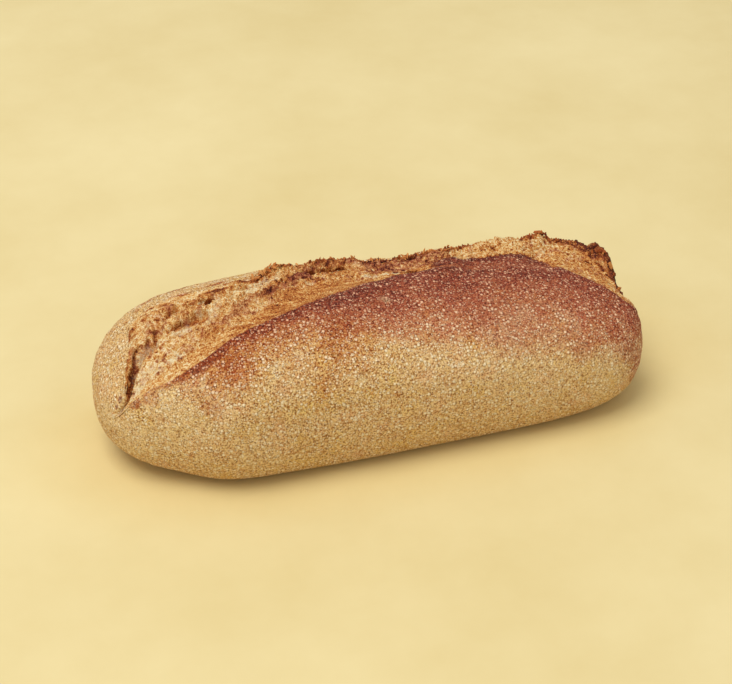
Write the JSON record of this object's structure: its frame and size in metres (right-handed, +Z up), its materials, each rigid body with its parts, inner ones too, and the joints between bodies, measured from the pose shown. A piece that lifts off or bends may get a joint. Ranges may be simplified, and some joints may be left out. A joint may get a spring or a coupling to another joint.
{
  "type": "country loaf",
  "caption": "Oblong hand-shaped country loaf on a flat base, slashed once along its length and burst open along a craggy torn ear.",
  "frame": {"origin": "centre of the loaf's outline, on the surface it rests on", "axes": "+X along the loaf towards the blunter end, +Y across it towards the far side, behind the torn ear, +Z up"},
  "size_m": [0.2908, 0.1124, 0.0831],
  "materials": {
    "crust": "dull, floury, speckled baked crust"
  },
  "bodies": {
    "root": {"loaf": "crust"}
  },
  "joints": []
}
